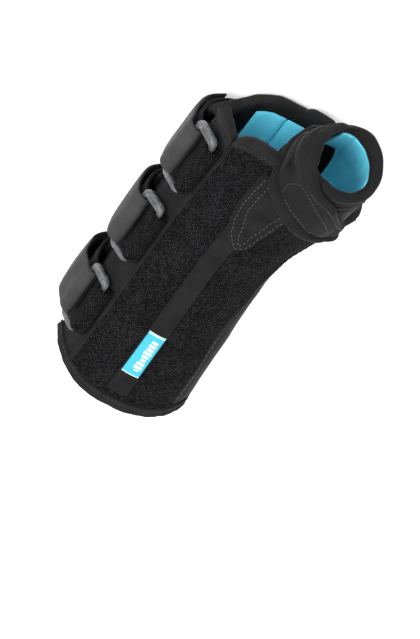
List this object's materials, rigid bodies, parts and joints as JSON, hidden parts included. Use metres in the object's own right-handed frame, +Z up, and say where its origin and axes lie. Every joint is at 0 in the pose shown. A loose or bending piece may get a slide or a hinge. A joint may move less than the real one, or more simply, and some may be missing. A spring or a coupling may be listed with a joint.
{
  "type": "wrist splint",
  "caption": "Black wrist-and-thumb splint for a right hand, with blue lining, buckle rings, webbing straps and a thumb sleeve.",
  "frame": {"origin": "under the middle of the whole object, on the surface that it lies on", "axes": "+X from the forearm end to the finger end, +Y to the little-finger side with the straps, +Z up out of the palm side"},
  "size_m": [0.247, 0.1186, 0.0828],
  "materials": {
    "loop_mesh": "black zig-zag knitted loop mesh",
    "black_knit": "smooth black knit",
    "blue_lining": "soft light-blue brushed lining",
    "edge_tape": "black stretch binding tape",
    "webbing": "dark grey loop-faced strap webbing",
    "hook_tape": "black hook tape",
    "ring_plastic": "grey moulded plastic, satin to gloss",
    "blue_label": "sky-blue woven label",
    "stay_alloy": "bare sheet alloy, hidden"
  },
  "bodies": {
    "sleeve": {"palm_lining": "blue_lining", "ring_panel_lining": "blue_lining", "back_lining": "blue_lining", "tongue": "black_knit", "palm_panel": "loop_mesh", "ring_panel": "black_knit", "back_panel": "loop_mesh", "forearm_tape_palm": "edge_tape", "forearm_tape_back": "edge_tape", "palm_edge_tape": "edge_tape", "ring_panel_tape": "edge_tape", "finger_edge_tape": "edge_tape", "radial_edge_tape": "edge_tape", "palm_stay": "stay_alloy", "palm_stay_pocket": "black_knit", "label": "blue_label", "back_stay": "stay_alloy", "thumb_stay": "stay_alloy", "thumb_patch": "black_knit", "back_stay_pocket": "black_knit", "ring_tab_1": "loop_mesh", "strap_1_sewn_part": "webbing", "ring_tab_2": "loop_mesh", "strap_2_sewn_part": "webbing", "ring_tab_3": "loop_mesh", "strap_3_sewn_part": "webbing", "thumb_sleeve": "black_knit", "thumb_lining": "blue_lining", "thumb_rim": "edge_tape", "thumb_tab_base": "black_knit"},
    "ring_1_body": {"ring_1": "ring_plastic", "strap_1_turn": "webbing"},
    "strap_1_end": {"strap_1_free_end": "webbing", "strap_1_hook": "hook_tape"},
    "ring_2_body": {"ring_2": "ring_plastic", "strap_2_turn": "webbing"},
    "strap_2_end": {"strap_2_free_end": "webbing", "strap_2_hook": "hook_tape"},
    "ring_3_body": {"ring_3": "ring_plastic", "strap_3_turn": "webbing"},
    "strap_3_end": {"strap_3_free_end": "webbing", "strap_3_hook": "hook_tape"},
    "thumb_tab_end": {"thumb_tab": "black_knit", "thumb_tab_hook": "hook_tape"}
  },
  "joints": [
    {"name": "ring_1_swivel", "type": "hinge", "parent": "sleeve", "child": "ring_1_body", "pos_m": [-0.06984, 0.04063, 0.06601], "axis": [0.9915, -0.0153, -0.1294], "range_deg": [0, 5]},
    {"name": "strap_1_peel", "type": "hinge", "parent": "ring_1_body", "child": "strap_1_end", "pos_m": [-0.07107, 0.0542, 0.05495], "axis": [0.9915, -0.0153, -0.1294], "range_deg": [0, 60]},
    {"name": "ring_2_swivel", "type": "hinge", "parent": "sleeve", "child": "ring_2_body", "pos_m": [-0.00627, 0.03884, 0.05631], "axis": [0.9923, -0.0129, -0.1228], "range_deg": [0, 5]},
    {"name": "strap_2_peel", "type": "hinge", "parent": "ring_2_body", "child": "strap_2_end", "pos_m": [-0.00718, 0.05392, 0.04737], "axis": [0.9923, -0.0129, -0.1228], "range_deg": [0, 60]},
    {"name": "ring_3_swivel", "type": "hinge", "parent": "sleeve", "child": "ring_3_body", "pos_m": [0.05509, 0.03815, 0.05472], "axis": [0.9992, -0.008, 0.0401], "range_deg": [0, 5]},
    {"name": "strap_3_peel", "type": "hinge", "parent": "ring_3_body", "child": "strap_3_end", "pos_m": [0.05559, 0.05306, 0.04547], "axis": [0.9992, -0.008, 0.0401], "range_deg": [0, 60]},
    {"name": "thumb_tab_peel", "type": "hinge", "parent": "sleeve", "child": "thumb_tab_end", "pos_m": [0.08416, -0.00365, 0.0661], "axis": [-0.9808, 0.0989, -0.1684], "range_deg": [0, 55]}
  ]
}
